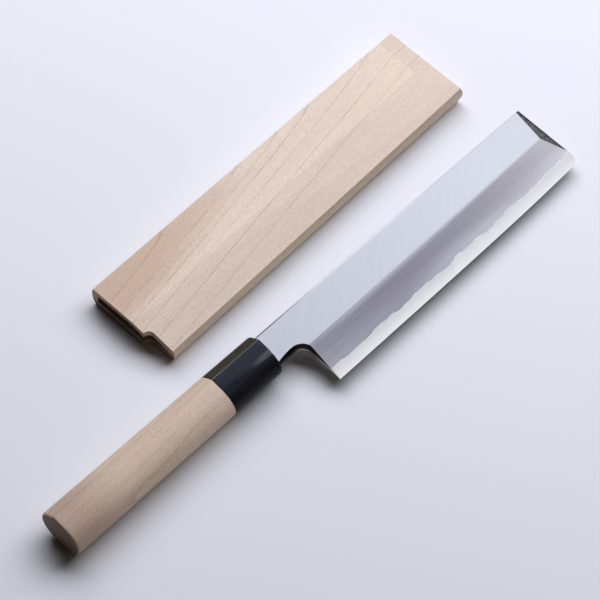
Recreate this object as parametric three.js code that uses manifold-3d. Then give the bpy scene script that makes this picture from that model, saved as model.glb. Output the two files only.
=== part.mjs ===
// A usuba, the single-bevel knife for cutting vegetables, lying beside the wooden sheath drawn off it.
// Millimetres, +Z up, +X from the butt to the tip, +Y from the edge to the spine.
// In the knife's own frame x = 0 is the ferrule's front face, y = 0 the spine and z = 0 the flat back.

import * as THREE from 'three';
import { mergeVertices } from 'three/addons/utils/BufferGeometryUtils.js';
import Module from 'manifold-3d';

// Blade outline: the edge runs almost straight from the heel and rises more and more towards the tip
const bladeLength = 177;
const neckLength = 17.1;
const neckWidth = 18.2;
const neckRadius = 43;
const heelHeight = 44.7;
const edgeTaper = 0.66;
const tipRise = 1.88;
const tipRisePower = 5;
const tipCornerRadius = 4.5;
const choilRadius = 6;
const choilAngle = 14;

// Blade section: the flat falls from the ridge line to the spine, the bevel from the ridge line to the edge
const ridgeLineDepthHeel = 22.5;
const ridgeLineDepthTip = 20.3;
const ridgeThicknessHeel = 5.2;
const ridgeThicknessTip = 3.1;
const spineThicknessHeel = 3.8;
const edgeThickness = 0.15;
const tipLand = 1.1;
const tipFacetAngle = 20;

// Hollow ground in the back, inside a flat rim
const hollowDepth = 0.45;
const hollowSideRim = 4;
const hollowEndRim = 7;
const hollowEndLength = 14;

// Steel layer: how far it shows on the bevel, and the waves of its border
const steelShows = 6.1;
const longWave = 32;
const longWaveHeight = 0.45;
const shortWave = 15.5;
const shortWaveHeight = 0.7;
const shortWaveGrowth = 3;
const wavePeakFromHeel = 130.5;
const tipFlare = 1.6;
const tipFlareLength = 5;
const weldGap = 0.05;

// Tang, driven through the ferrule into the handle
const tangLength = 95;
const tangRoot = 8;
const tangWidthFront = 11;
const tangWidthEnd = 7;
const tangThicknessFront = 3.6;
const tangThicknessEnd = 2.4;
const tangAboveBack = 2.1;

// Handle and ferrule: one D section, an oval with a ridge on the side of the bevel
const handleLength = 139.6;
const ferruleLength = 32.4;
const handleBelowSpine = 9.5;
const frontWidth = 24.5;
const frontThickness = 19.9;
const buttWidth = 26.7;
const buttThickness = 22.2;
const ridgeOffset = 4.3;
const ridgeHeight = 1.5;
const frontRound = 1.0;
const buttRound = 1.6;
const tenonLength = 18;
const tenonWall = 1.6;
const fitClearance = 0.3;

// Sheath: two boards glued flat on flat, the front one carved to the blade
const slotClearance = 0.5;
const backBoard = 4.6;
const glueLine = 0.1;
const spineWall = 3.2;
const edgeWall = 3.6;
const spineLip = 4.2;
const ridgeLip = 3.2;
const topRidgeFromSpine = 27.8;
const edgeLip = 4.5;
const farSpineHeight = 8.9;
const farRidgeHeight = 9;
const farEdgeHeight = 7.2;
const farTopHeight = 7.3;
const endFacetLength = 9.5;
const endWood = 32.2;
const sideTaper = 1.9;
const sideBow = 1.5;
const bowUpper = 0.75;
const bowLower = 0.2;
const bottomInset = 1.4;
const heelCover = 2;
const mouthStep = 3.8;
const mouthStepFromSpine = 35.7;
const mouthStepRadius = 3.6;

// Where the sheath lies, from the ferrule's front face and from the spine, and the knife's turn to it
const sheathMouthBehindFerrule = 34.5;
const sheathAside = 24.5;
const knifeTurn = 0.725;

// Facets
const bladeSteps = 24;
const weldStep = 1.5;
const sectionSides = 44;
const roundSteps = 3;
const curveSteps = 8;

// Room by which a cutting solid runs past what it cuts
const overrun = 5;

const heelX = neckLength;
const tipX = heelX + bladeLength;
const tipHeight = heelHeight - edgeTaper - tipRise;
const tangHalf = tangThicknessFront / 2;
const handleY = -handleBelowSpine;
const handleZ = tangAboveBack;

const wasm = await Module();
wasm.setup();

const { lerp, degToRad } = THREE.MathUtils;

// A closed geometry as a solid that can be cut and joined.
function solidOf(geometry) {
  const bare = geometry.clone();
  bare.deleteAttribute('normal');
  bare.deleteAttribute('uv');
  const merged = mergeVertices(bare);
  const vertProperties = new Float32Array(merged.attributes.position.array);
  const triVerts = new Uint32Array(merged.index.array);
  return new wasm.Manifold(new wasm.Mesh({ numProp: 3, vertProperties, triVerts }));
}

function geometryOf(solid) {
  const { vertProperties, triVerts } = solid.getMesh();
  const geometry = new THREE.BufferGeometry();
  geometry.setAttribute('position', new THREE.BufferAttribute(vertProperties, 3));
  geometry.setIndex(new THREE.BufferAttribute(triVerts, 1));
  geometry.computeVertexNormals();
  return geometry;
}

const alongX = (at, point) => [at, point.x, point.y];
const upZ = (at, point) => [point.x, point.y, at];

// Skins a row of sections along x or up z. Each holds a ring of points, counterclockwise seen from its
// far end.
function loft(sections, place = alongX) {
  const count = sections[0].ring.length;
  const positions = [];
  const index = [];
  for (const { at, ring } of sections) {
    for (const point of ring) {
      positions.push(...place(at, point));
    }
  }
  for (let s = 0; s < sections.length - 1; s += 1) {
    for (let i = 0; i < count; i += 1) {
      const a = s * count + i;
      const b = s * count + ((i + 1) % count);
      index.push(a, b, b + count, a, b + count, a + count);
    }
  }
  const last = (sections.length - 1) * count;
  for (const [a, b, c] of THREE.ShapeUtils.triangulateShape(sections[0].ring, [])) {
    index.push(c, b, a);
  }
  for (const [a, b, c] of THREE.ShapeUtils.triangulateShape(sections.at(-1).ring, [])) {
    index.push(last + a, last + b, last + c);
  }
  const geometry = new THREE.BufferGeometry();
  geometry.setAttribute('position', new THREE.Float32BufferAttribute(positions, 3));
  geometry.setIndex(index);
  return solidOf(geometry);
}

// A rectangular section centred on (y, z).
function rectangle(at, y, z, width, height) {
  const corners = [[-0.5, -0.5], [0.5, -0.5], [0.5, 0.5], [-0.5, 0.5]];
  return { at, ring: corners.map(([u, v]) => new THREE.Vector2(y + u * width, z + v * height)) };
}

function range(from, to, steps) {
  return Array.from({ length: steps + 1 }, (_, i) => lerp(from, to, i / steps));
}

// Sizes of the blade's section at x, counted from the spine and the back.
function bladeAt(x) {
  const share = (x - heelX) / bladeLength;
  const flatFall = (ridgeThicknessHeel - spineThicknessHeel) / ridgeLineDepthHeel;
  const ridgeDepth = lerp(ridgeLineDepthHeel, ridgeLineDepthTip, share);
  const ridge = lerp(ridgeThicknessHeel, ridgeThicknessTip, share);
  const height = heelHeight - edgeTaper * share - tipRise * Math.max(share, 0) ** tipRisePower;
  return { ridgeDepth, ridge, height, spine: ridge - flatFall * ridgeDepth };
}

// The blade's ground section at x, grown all round by room.
function bladeSection(x, room, place = { x: 0, y: 0, z: 0 }) {
  const { ridgeDepth, ridge, height, spine } = bladeAt(x);
  const points = [
    [room, spine + room],
    [-ridgeDepth, ridge + room],
    [-height - room, edgeThickness + room],
    [-height - room, -room],
    [room, -room],
  ];
  return { at: place.x + x, ring: points.map(([y, z]) => new THREE.Vector2(place.y + y, place.z + z)) };
}

// Outline that squares the tip and rounds its corner, seen from the bevel side.
function tipOutline() {
  const roundX = tipX - tipCornerRadius;
  const roundY = tipCornerRadius - bladeAt(roundX).height;
  const outline = new THREE.Shape();
  outline.moveTo(fitClearance, 0);
  outline.lineTo(tipX, 0);
  outline.lineTo(tipX, roundY);
  outline.absarc(roundX, roundY, tipCornerRadius, 0, -Math.PI / 2, true);
  outline.lineTo(roundX, -heelHeight - overrun);
  outline.lineTo(fitClearance, -heelHeight - overrun);
  outline.closePath();
  return outline;
}

// Points on an arc round (x, y), from one turn to another.
function arcPoints(x, y, radius, from, to) {
  return range(from, to, curveSteps).map(
    (turn) => new THREE.Vector2(x + radius * Math.cos(turn), y + radius * Math.sin(turn)),
  );
}

// The space under the neck and behind the heel: a tight arc at the heel runs into a wide one under the
// neck. Its wall leans, so the back stands out past the bevel side.
function choilSpace(top) {
  const choilX = heelX - choilRadius;
  const low = -heelHeight - overrun;
  const square = Math.PI / 2;
  const neckTurn = Math.asin((choilX + overrun) / neckRadius);
  const section = (at) => {
    const out = at * Math.tan(degToRad(choilAngle));
    const choil = arcPoints(choilX, -neckWidth - choilRadius, choilRadius + out, 0, square);
    const neck = arcPoints(choilX, -neckWidth - neckRadius, neckRadius + out, square, square + neckTurn);
    const heel = new THREE.Vector2(heelX + out, low);
    const behind = new THREE.Vector2(neck.at(-1).x, low);
    return { at, ring: [heel, ...choil, ...neck.slice(1), behind] };
  };
  return loft([section(-overrun), section(top)], upZ);
}

function extrudeOutline(shape, depth) {
  const options = { depth, bevelEnabled: false, curveSegments: curveSteps };
  return solidOf(new THREE.ExtrudeGeometry(shape, options));
}

// Neck and blade in one, before the two metals are parted.
function groundBlade() {
  const stock = ridgeThicknessHeel + overrun;
  const stations = range(0, tipX + overrun, bladeSteps);
  const ground = loft(stations.map((x) => bladeSection(x, 0)));
  const facetRise = Math.tan(degToRad(tipFacetAngle));
  const facet = new THREE.Shape();
  facet.moveTo(tipX + overrun, tipLand - overrun * facetRise);
  facet.lineTo(tipX + overrun, stock + overrun);
  facet.lineTo(tipX - (stock + overrun - tipLand) / facetRise, stock + overrun);
  facet.closePath();
  const facetDepth = heelHeight + 2 * overrun;
  const facetCut = new THREE.ExtrudeGeometry(facet, { depth: facetDepth, bevelEnabled: false });
  facetCut.rotateX(Math.PI / 2);
  facetCut.translate(0, overrun, 0);
  return extrudeOutline(tipOutline(), stock)
    .intersect(ground)
    .subtract(solidOf(facetCut))
    .subtract(choilSpace(stock));
}

// A shallow trough of one grinding radius, drawn in to a point at both ends.
function backHollow() {
  const start = heelX + hollowEndRim;
  const end = tipX - hollowEndRim;
  const halfWidth = (tipHeight - 2 * hollowSideRim) / 2;
  const centre = -hollowSideRim - halfWidth;
  const radius = (halfWidth ** 2 + hollowDepth ** 2) / (2 * hollowDepth);
  const slope = range(0, Math.PI / 2, curveSteps).slice(1);
  const ends = slope.map((turn) => ({ in: hollowEndLength * (1 - Math.cos(turn)), share: Math.sin(turn) }));
  const stations = [
    ...ends.map((e) => ({ x: start + e.in, half: halfWidth * e.share })),
    ...ends.map((e) => ({ x: end - e.in, half: halfWidth * e.share })).reverse(),
  ];
  const trough = ({ x, half }) => {
    const sink = Math.sqrt(radius ** 2 - halfWidth ** 2);
    const arc = range(half, -half, 2 * curveSteps);
    const ring = arc.map((y) => new THREE.Vector2(centre + y, Math.sqrt(radius ** 2 - y ** 2) - sink));
    ring.push(new THREE.Vector2(centre - half, -overrun), new THREE.Vector2(centre + half, -overrun));
    return { at: x, ring };
  };
  return loft(stations.map(trough));
}

// Height of the weld above the back at x: the bevel's own height where the steel's border shows on it.
// The border's long waves run from the heel, and its short ones grow towards the tip.
function weldHeight(x) {
  const { ridgeDepth, ridge, height } = bladeAt(x);
  const bevelRise = (ridge - edgeThickness) / (height - ridgeDepth);
  const fromPeak = 2 * Math.PI * (x - heelX - wavePeakFromHeel);
  const share = (x - heelX) / bladeLength;
  const long = longWaveHeight * Math.cos(fromPeak / longWave);
  const short = shortWaveHeight * share ** shortWaveGrowth * Math.cos(fromPeak / shortWave);
  const flare = tipFlare * Math.exp((x - tipX) / tipFlareLength);
  return edgeThickness + bevelRise * (steelShows + long + short + flare);
}

// Everything under the weld, from the choil to past the tip.
function underWeld(lift) {
  const start = heelX - choilRadius - lift;
  const steps = Math.ceil((tipX + overrun - start) / weldStep);
  const width = heelHeight + 2 * overrun;
  const stations = range(start, tipX + overrun, steps).map((x) => {
    const top = weldHeight(Math.min(Math.max(x, heelX), tipX)) + lift;
    return rectangle(x, overrun - width / 2, (top - overrun) / 2, width, top + overrun);
  });
  return loft(stations);
}

// The tang's section at x, grown all round by room. It tapers in width and in thickness to its end.
function tangSection(x, room) {
  const share = -x / tangLength;
  const width = lerp(tangWidthFront, tangWidthEnd, share) + 2 * room;
  const thickness = lerp(tangThicknessFront, tangThicknessEnd, share) + 2 * room;
  return rectangle(x, handleY, handleZ, width, thickness);
}

// The D section of handle and ferrule at x, drawn in by inset: an oval and the two flats that touch it
// and meet on the ridge.
function handleSection(x, inset = 0) {
  const share = -x / handleLength;
  const a = lerp(frontWidth, buttWidth, share) / 2 - inset;
  const b = lerp(frontThickness, buttThickness, share) / 2 - inset;
  const ridgeZ = b * Math.sqrt(1 - (ridgeOffset / a) ** 2) + ridgeHeight;
  const lean = Math.atan2(ridgeZ / b, ridgeOffset / a);
  const spread = Math.acos(1 / Math.hypot(ridgeOffset / a, ridgeZ / b));
  const turns = range(lean + spread, lean - spread + 2 * Math.PI, sectionSides);
  const ring = turns.map((t) => new THREE.Vector2(handleY + a * Math.cos(t), handleZ + b * Math.sin(t)));
  ring.push(new THREE.Vector2(handleY + ridgeOffset, handleZ + ridgeZ));
  return { at: x, ring };
}

// Sections that round an end over by radius, growing x, with the end face at x.
function roundedEnd(x, radius, towards) {
  const turns = range(0, Math.PI / 2, roundSteps);
  const ends = turns.map((t) => handleSection(
    x - towards * radius * (1 - Math.sin(t)),
    radius * (1 - Math.cos(t)),
  ));
  return towards > 0 ? ends : ends.reverse();
}

const tenonRadius = Math.hypot(tangWidthFront / 2, tangHalf) + fitClearance + tenonWall;

// A round plug along x, centred on the handle.
function plug(from, to, radius) {
  const geometry = new THREE.CylinderGeometry(radius, radius, to - from, sectionSides);
  geometry.rotateZ(Math.PI / 2);
  geometry.translate((from + to) / 2, handleY, handleZ);
  return solidOf(geometry);
}

function ferrule() {
  const body = loft([handleSection(-ferruleLength), ...roundedEnd(0, frontRound, 1)]);
  const socketEnd = -ferruleLength + tenonLength + fitClearance;
  const socket = plug(-ferruleLength - overrun, socketEnd, tenonRadius + fitClearance);
  const slot = loft([tangSection(-ferruleLength, fitClearance), tangSection(overrun, fitClearance)]);
  return body.subtract(socket).subtract(slot);
}

function handle() {
  const shoulder = -ferruleLength - fitClearance;
  const body = loft([...roundedEnd(-handleLength, buttRound, -1), handleSection(shoulder)]);
  const tenonFront = shoulder + tenonLength;
  const tenon = plug(shoulder - overrun, tenonFront, tenonRadius);
  const hole = loft([
    tangSection(-tangLength - fitClearance, fitClearance),
    tangSection(tenonFront + overrun, fitClearance),
  ]);
  return body.add(tenon).subtract(hole);
}

// Sizes that the sheath takes from the blade
const sheathLength = mouthStep + heelCover + bladeLength + slotClearance + endWood;
const sheathWidth = spineWall + 2 * slotClearance + heelHeight + edgeWall;
const sheathBlade = {
  x: mouthStep + heelCover - heelX,
  y: -spineWall - slotClearance,
  z: backBoard + slotClearance,
};

// A side of the sheath from its top edge down to the table, bowed out and drawn in under it.
function bowedSide(edge, top, out) {
  return new THREE.CubicBezierCurve(
    new THREE.Vector2(edge, top),
    new THREE.Vector2(edge + out * sideBow, top * bowUpper),
    new THREE.Vector2(edge + out * sideBow, top * bowLower),
    new THREE.Vector2(edge - out * bottomInset, 0),
  ).getPoints(curveSteps);
}

// The sheath's outer section at x from its mouth: flat under, bowed sides, and two planes above that
// meet on a ridge over the blade's own ridge line.
function sheathSection(x) {
  const share = x / sheathLength;
  const mouth = bladeAt(heelX);
  const slot = backBoard + 2 * slotClearance;
  const spineTop = lerp(slot + mouth.spine + spineLip, backBoard + farSpineHeight, share);
  const ridgeTop = lerp(slot + mouth.ridge + ridgeLip, backBoard + farRidgeHeight, share);
  const edgeTop = lerp(slot + edgeThickness + edgeLip, backBoard + farEdgeHeight, share);
  const spineY = -sideTaper * share;
  const edgeY = -sheathWidth + sideTaper * share;
  const spineSide = bowedSide(spineY, spineTop, 1).reverse();
  const edgeSide = bowedSide(edgeY, edgeTop, -1);
  return { at: x, ring: [...spineSide, new THREE.Vector2(-topRidgeFromSpine, ridgeTop), ...edgeSide] };
}

// The sheath's outside: its section swept along, cut off by its side view and stepped at the mouth.
function sheathBlock() {
  const swept = loft([sheathSection(-overrun), sheathSection(sheathLength + overrun)]);
  const farTop = backBoard + farTopHeight;
  const facetRise = (farSpineHeight - farTopHeight) / endFacetLength;
  const high = swept.boundingBox().max[2] + overrun;
  const sideView = new THREE.Shape();
  sideView.moveTo(0, -overrun);
  sideView.lineTo(sheathLength - bottomInset, -overrun);
  for (const point of bowedSide(sheathLength, farTop, 1).reverse()) {
    sideView.lineTo(point.x, point.y);
  }
  sideView.lineTo(sheathLength - (high - farTop) / facetRise, high);
  sideView.lineTo(0, high);
  sideView.closePath();
  const sawnDepth = sheathWidth + 2 * overrun;
  const sawn = new THREE.ExtrudeGeometry(sideView, { depth: sawnDepth, bevelEnabled: false });
  sawn.rotateX(Math.PI / 2);
  sawn.translate(0, overrun, 0);
  const step = new THREE.Shape();
  const stepY = -mouthStepFromSpine;
  step.moveTo(-overrun, stepY);
  step.lineTo(mouthStep - mouthStepRadius, stepY);
  step.absarc(mouthStep - mouthStepRadius, stepY - mouthStepRadius, mouthStepRadius, Math.PI / 2, 0, true);
  step.lineTo(mouthStep, -sheathWidth - overrun);
  step.lineTo(-overrun, -sheathWidth - overrun);
  step.closePath();
  const stepCut = new THREE.ExtrudeGeometry(step, {
    depth: high + overrun,
    bevelEnabled: false,
    curveSegments: curveSteps,
  });
  stepCut.translate(0, 0, -overrun);
  return swept.intersect(solidOf(sawn)).subtract(solidOf(stepCut));
}

// A slab across the whole sheath between two heights.
function sheathSlab(low, high) {
  const from = -overrun;
  const to = sheathLength + 2 * overrun;
  const width = sheathWidth + 4 * overrun;
  const section = (x) => rectangle(x, -sheathWidth / 2, (low + high) / 2, width, high - low);
  return loft([section(from), section(to)]);
}

function sheathBoards() {
  const block = sheathBlock();
  const top = block.boundingBox().max[2] + overrun;
  const stations = range(-sheathBlade.x - overrun, tipX + slotClearance, bladeSteps);
  const pocket = loft(stations.map((x) => bladeSection(x, slotClearance, sheathBlade)));
  const back = block.intersect(sheathSlab(-overrun, backBoard));
  const front = block.intersect(sheathSlab(backBoard + glueLine, top)).subtract(pocket);
  return { back, front };
}

function named(name, solid, material) {
  const mesh = new THREE.Mesh(geometryOf(solid), material);
  mesh.name = name;
  return mesh;
}

const finish = {
  iron: new THREE.MeshStandardMaterial({ color: 0xb9bcc4, roughness: 0.35, metalness: 1 }),
  steel: new THREE.MeshStandardMaterial({ color: 0xe4e6ea, roughness: 0.15, metalness: 1 }),
  horn: new THREE.MeshStandardMaterial({ color: 0x17181b, roughness: 0.25, metalness: 0 }),
  handleWood: new THREE.MeshStandardMaterial({ color: 0xcdb599, roughness: 0.6, metalness: 0 }),
  sheathWood: new THREE.MeshStandardMaterial({ color: 0xdac7b1, roughness: 0.65, metalness: 0 }),
};

const tang = loft([tangSection(-tangLength, 0), tangSection(tangRoot, 0)]);
const blade = groundBlade();
const ironBody = blade.subtract(underWeld(weldGap)).add(tang);
const steelLayer = blade.intersect(underWeld(0)).subtract(backHollow());

const knife = new THREE.Group();
knife.add(named('iron_blade_body', ironBody, finish.iron));
knife.add(named('steel_edge_layer', steelLayer, finish.steel));
knife.add(named('horn_ferrule', ferrule(), finish.horn));
knife.add(named('wooden_handle', handle(), finish.handleWood));

// The knife lies on the underside of its handle, and leans by the handle's taper.
const lean = Math.atan2((buttThickness - frontThickness) / 2, handleLength);
knife.rotation.set(0, lean, -degToRad(knifeTurn), 'ZYX');
knife.position.z = (frontThickness / 2 - handleZ) * Math.cos(lean);

const sheath = new THREE.Group();
const boards = sheathBoards();
sheath.add(named('sheath_back_board', boards.back, finish.sheathWood));
sheath.add(named('sheath_front_board', boards.front, finish.sheathWood));
sheath.position.set(-sheathMouthBehindFerrule, sheathAside + sheathWidth, 0);

// The origin is on the table, under the middle of the set.
const set = new THREE.Group();
set.add(knife, sheath);
const extent = new THREE.Box3().setFromObject(set, true);
const middle = extent.getCenter(new THREE.Vector3());
set.position.set(-middle.x, -middle.y, -extent.min.z);

export default set;
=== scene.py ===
# %% [markdown]
# # A usuba and its sheath
#
# A usuba is a kitchen knife for vegetables. A thin layer of hard steel is forge welded under a
# body of soft iron. The back is left flat and hollowed, and the front is ground to a single bevel.
# The tang goes into a magnolia handle through a ring of buffalo horn, and the blade is kept in a
# sheath of two magnolia boards. Here the sheath is drawn off and lies beside the knife.
#
# The solids of the part come in as a fixed frame, in metres. Every piece below stands exactly where its
# solid stands, so the solids are loaded first.

# %% Load the solids
import math

import bmesh
import bpy
from mathutils import Matrix, Vector


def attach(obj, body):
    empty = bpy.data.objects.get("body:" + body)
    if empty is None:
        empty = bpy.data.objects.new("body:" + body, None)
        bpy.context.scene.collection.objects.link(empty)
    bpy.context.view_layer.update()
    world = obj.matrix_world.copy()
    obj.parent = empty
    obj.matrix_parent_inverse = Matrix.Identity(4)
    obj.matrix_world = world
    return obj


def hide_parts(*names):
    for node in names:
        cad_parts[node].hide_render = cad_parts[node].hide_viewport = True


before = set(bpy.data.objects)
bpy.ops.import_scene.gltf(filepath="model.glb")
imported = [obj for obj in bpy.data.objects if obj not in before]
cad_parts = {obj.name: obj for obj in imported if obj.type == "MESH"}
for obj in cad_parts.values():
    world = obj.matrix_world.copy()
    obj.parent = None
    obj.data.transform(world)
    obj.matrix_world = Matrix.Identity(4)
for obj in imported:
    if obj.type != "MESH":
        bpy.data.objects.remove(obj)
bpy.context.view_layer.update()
mm = 0.001
bpy.context.scene.view_settings.view_transform = "Standard"
print("solids:", ", ".join(sorted(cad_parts)))

# %% [markdown]
# ## Camera
#
# The knife is seen from high on the left with a long lens, so its sides stay almost parallel.
# A camera could be turned by hand until it fits, but two angles, a distance and a lens say the
# same thing in four numbers that can be checked. A camera looks along its own -Z axis, so its turn
# comes straight from the direction towards it, which is its +Z axis.

# %% Place the camera
view_target = Vector((11.1, -12.5, 0.0)) * mm
view_azimuth = math.radians(-46.0)
view_elevation = math.radians(60.58)
view_distance = 1758 * mm

towards_camera = Vector((
    math.sin(view_azimuth) * math.cos(view_elevation),
    -math.cos(view_azimuth) * math.cos(view_elevation),
    math.sin(view_elevation),
))
bpy.ops.object.camera_add(
    location=view_target + view_distance * towards_camera,
    rotation=towards_camera.to_track_quat("Z", "Y").to_euler(),
)
camera = bpy.context.object
camera.data.sensor_width = 36
camera.data.lens = 210
bpy.context.scene.camera = camera
print("camera at", [round(value, 3) for value in camera.location])

# %% [markdown]
# ## Colours and nodes
#
# Colours are written as sRGB hex values, as a colour picker shows them, and shaders count in
# linear light, so one function turns the first into the second. A second small function adds a
# node, sets it and links it in one call. It keeps each material readable from top to bottom.

# %% Two helpers for materials
def linear(hex_colour):
    channels = [int(hex_colour[place:place + 2], 16) / 255 for place in (1, 3, 5)]
    return [c / 12.92 if c <= 0.04045 else ((c + 0.055) / 1.055) ** 2.4 for c in channels] + [1.0]


def add_node(tree, kind, inputs, **settings):
    node = tree.nodes.new(kind)
    for name, value in settings.items():
        setattr(node, name, value)
    for name, value in inputs.items():
        if isinstance(value, bpy.types.NodeSocket):
            tree.links.new(value, node.inputs[name])
        else:
            node.inputs[name].default_value = value
    return node


print("mid grey in linear light:", [round(value, 3) for value in linear("#808080")])

# %% [markdown]
# ## Floor and light
#
# The knife lies on a wide sheet of white paper. Paper has no gloss, so a rough shader with hardly
# any specular light makes it. A plain sheet is enough, because its edges are far out of sight.

# %% Lay the paper
bpy.ops.object.select_all(action="DESELECT")
bpy.ops.mesh.primitive_plane_add(size=8.0)
floor = bpy.context.object
floor.name = "floor"

paper = bpy.data.materials.new("white_paper")
paper.use_nodes = True
paper_shader = paper.node_tree.nodes["Principled BSDF"]
paper_shader.inputs["Base Color"].default_value = linear("#EBEBEA")
paper_shader.inputs["Roughness"].default_value = 0.9
paper_shader.inputs["Specular IOR Level"].default_value = 0.1
floor.data.materials.append(paper)
print("floor of", floor.dimensions[0], "m")

# %% [markdown]
# The light is one big, cool soft box above and behind the knife. A spot or a sun would throw hard
# shadows. A soft box is a glowing sheet, so an area lamp of its real size gives both the wide soft
# shadows and the bright sheet that the flat of the blade mirrors. It hangs close enough for the
# paper to grow darker towards the viewer.

# %% Hang the soft box
soft_box_direction = Vector((0.70, 0.35, 1.0)).normalized()
soft_box_distance = 1.34
soft_box_size = (2.18, 0.95)
bpy.ops.object.light_add(
    type="AREA",
    location=view_target + soft_box_distance * soft_box_direction,
    rotation=soft_box_direction.to_track_quat("Z", "Y").to_euler(),
)
soft_box = bpy.context.object
soft_box.name = "soft_box"
soft_box.data.shape = "RECTANGLE"
soft_box.data.size = soft_box_size[0]
soft_box.data.size_y = soft_box_size[1]
soft_box.data.energy = 33.5
soft_box.data.color = linear("#EFF1FF")[:3]
print("soft box of", soft_box_size, "m at", [round(value, 2) for value in soft_box.location])

# %% [markdown]
# The rest of the room is dim and a little warm. Walls could be built around the table, but only
# their faint light counts: it keeps the shadows from going black, and polished metal mirrors it
# wherever it turns away from the soft box. A plain world colour does both.

# %% Dim the room
room = bpy.data.worlds.new("room")
room.use_nodes = True
room_light = room.node_tree.nodes["Background"]
room_light.inputs["Color"].default_value = linear("#FFEFDD")
room_light.inputs["Strength"].default_value = 0.014
bpy.context.scene.world = room
print("room light", round(room_light.inputs["Strength"].default_value, 3))

# %% [markdown]
# ## Two rulers
#
# Grain, grinding marks and year lines all have places on the real pieces, so each material gets
# a ruler: millimetres along the piece from one corner, millimetres across it from the spine side,
# and millimetres up. A Mapping node of the Texture kind does this, because it takes its own place,
# turn and scale off the Object coordinates. The knife lies turned by less than a degree.

# %% Lay a ruler on a piece
sheath_corner = Vector((-61.6, 60.9, 0.0)) * mm
knife_corner = Vector((-27.1, -16.1, 0.0)) * mm
knife_turn = math.radians(-0.725)


def lay_ruler(tree, corner, turn):
    place = add_node(tree, "ShaderNodeTexCoord", {})
    ruler = add_node(
        tree, "ShaderNodeMapping",
        {
            "Vector": place.outputs["Object"],
            "Location": corner,
            "Rotation": (0.0, 0.0, turn),
            "Scale": (mm, -mm, mm),
        },
        vector_type="TEXTURE",
    )
    return ruler.outputs["Vector"]


for item, corner in (("sheath", sheath_corner), ("knife", knife_corner)):
    print("ruler of the", item, "from", [round(value, 4) for value in corner])

# %% [markdown]
# ## Magnolia
#
# Sheath and handle are made of ho, a Japanese magnolia: pale, even, soft enough not to mark an
# edge, and planed without varnish. What the eye sees is a few thin brown lines, one for each
# year, that drift across the board, broad faint stains between them, and fine pores along them.
#
# The lines could be drawn on the top face alone, but then the sides and ends would not agree
# with it. Here the pattern is solid: every point asks how far it is from the heart of the tree,
# and each year's line is a thin shell at one such distance. The trunk is a little askew in the
# board, so the lines run out across it, and a slow noise makes them sway as a tree does.

# %% Distance from the heart of the tree
def measure_from_heart(tree, board, heart, run_out, sway_size):
    # The sway has waves of some 40 mm, as broad as the bends of a young trunk
    sway_length = 40.0
    sway = add_node(
        tree, "ShaderNodeTexNoise",
        {"Vector": board, "Scale": 1 / sway_length, "Detail": 4.0, "Roughness": 0.55},
    )
    sway_across = Vector((0.0, sway_size, sway_size))
    swayed = add_node(
        tree, "ShaderNodeVectorMath",
        {0: sway.outputs["Color"], 1: sway_across, 2: board},
        operation="MULTIPLY_ADD",
    )
    from_heart = add_node(
        tree, "ShaderNodeVectorMath",
        {0: swayed.outputs["Vector"], 1: heart + sway_across / 2},
        operation="SUBTRACT",
    )
    across = add_node(
        tree, "ShaderNodeVectorMath",
        {0: from_heart.outputs["Vector"], 1: (0.0, 1.0, 1.0)},
        operation="MULTIPLY",
    )
    radius = add_node(
        tree, "ShaderNodeVectorMath", {0: across.outputs["Vector"]}, operation="LENGTH",
    )
    along = add_node(tree, "ShaderNodeSeparateXYZ", {"Vector": board})
    distance = add_node(
        tree, "ShaderNodeMath",
        {0: along.outputs["X"], 1: run_out, 2: radius.outputs["Value"]},
        operation="MULTIPLY_ADD",
    )
    return distance.outputs["Value"]


print("distance from the heart ready")

# %% [markdown]
# A year line is dark on its outer side and fades inwards, because the last wood of a year is the
# densest. A colour ramp holds one such saw tooth for each year. The dense part of a line is only
# some 0.35 mm wide and pale in places, so a second noise thins the lines here and there.

# %% Year lines
def draw_year_lines(tree, board, distance, radii):
    # How far a line's pale side, its dense part and its sharp outer side reach from its middle
    pale_side = 1.1
    dense_part = 0.2
    sharp_side = 0.15
    reach = 1.2 * max(radii)
    ring_place = add_node(tree, "ShaderNodeMath", {0: distance, 1: reach}, operation="DIVIDE")
    rings = add_node(tree, "ShaderNodeValToRGB", {"Fac": ring_place.outputs["Value"]})
    stops = rings.color_ramp.elements
    stops.remove(stops[1])
    stops[0].position = 0.0
    stops[0].color = linear("#000000")
    for radius in radii:
        stops.new((radius - pale_side) / reach).color = linear("#000000")
        stops.new((radius - dense_part) / reach).color = linear("#5A5A5A")
        stops.new(radius / reach).color = linear("#FFFFFF")
        stops.new((radius + sharp_side) / reach).color = linear("#000000")
    # Thin places are some 9 mm long
    thin_length = 9.0
    thin_places = add_node(
        tree, "ShaderNodeTexNoise",
        {"Vector": board, "Scale": 1 / thin_length, "Detail": 3.0, "Roughness": 0.6},
    )
    strength = add_node(
        tree, "ShaderNodeMapRange",
        {"Value": thin_places.outputs["Fac"], "From Min": 0.35, "From Max": 0.62, "To Min": 0.25},
    )
    lines = add_node(
        tree, "ShaderNodeMath",
        {0: rings.outputs["Color"], 1: strength.outputs["Result"]},
        operation="MULTIPLY",
    )
    return lines.outputs["Value"]


print("year lines ready")

# %% [markdown]
# Pores are the cut vessels of the wood. Magnolia's are finer than a tenth of a millimetre, too
# fine to show here, so they are drawn as streaks 0.35 mm wide. The same streaks give the wood its
# slight unevenness in tone, in sheen and to the touch, so one noise feeds all three. A stain is an
# oval that is full in its middle and gone at its rim, and that a length of a vector can tell.

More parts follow.
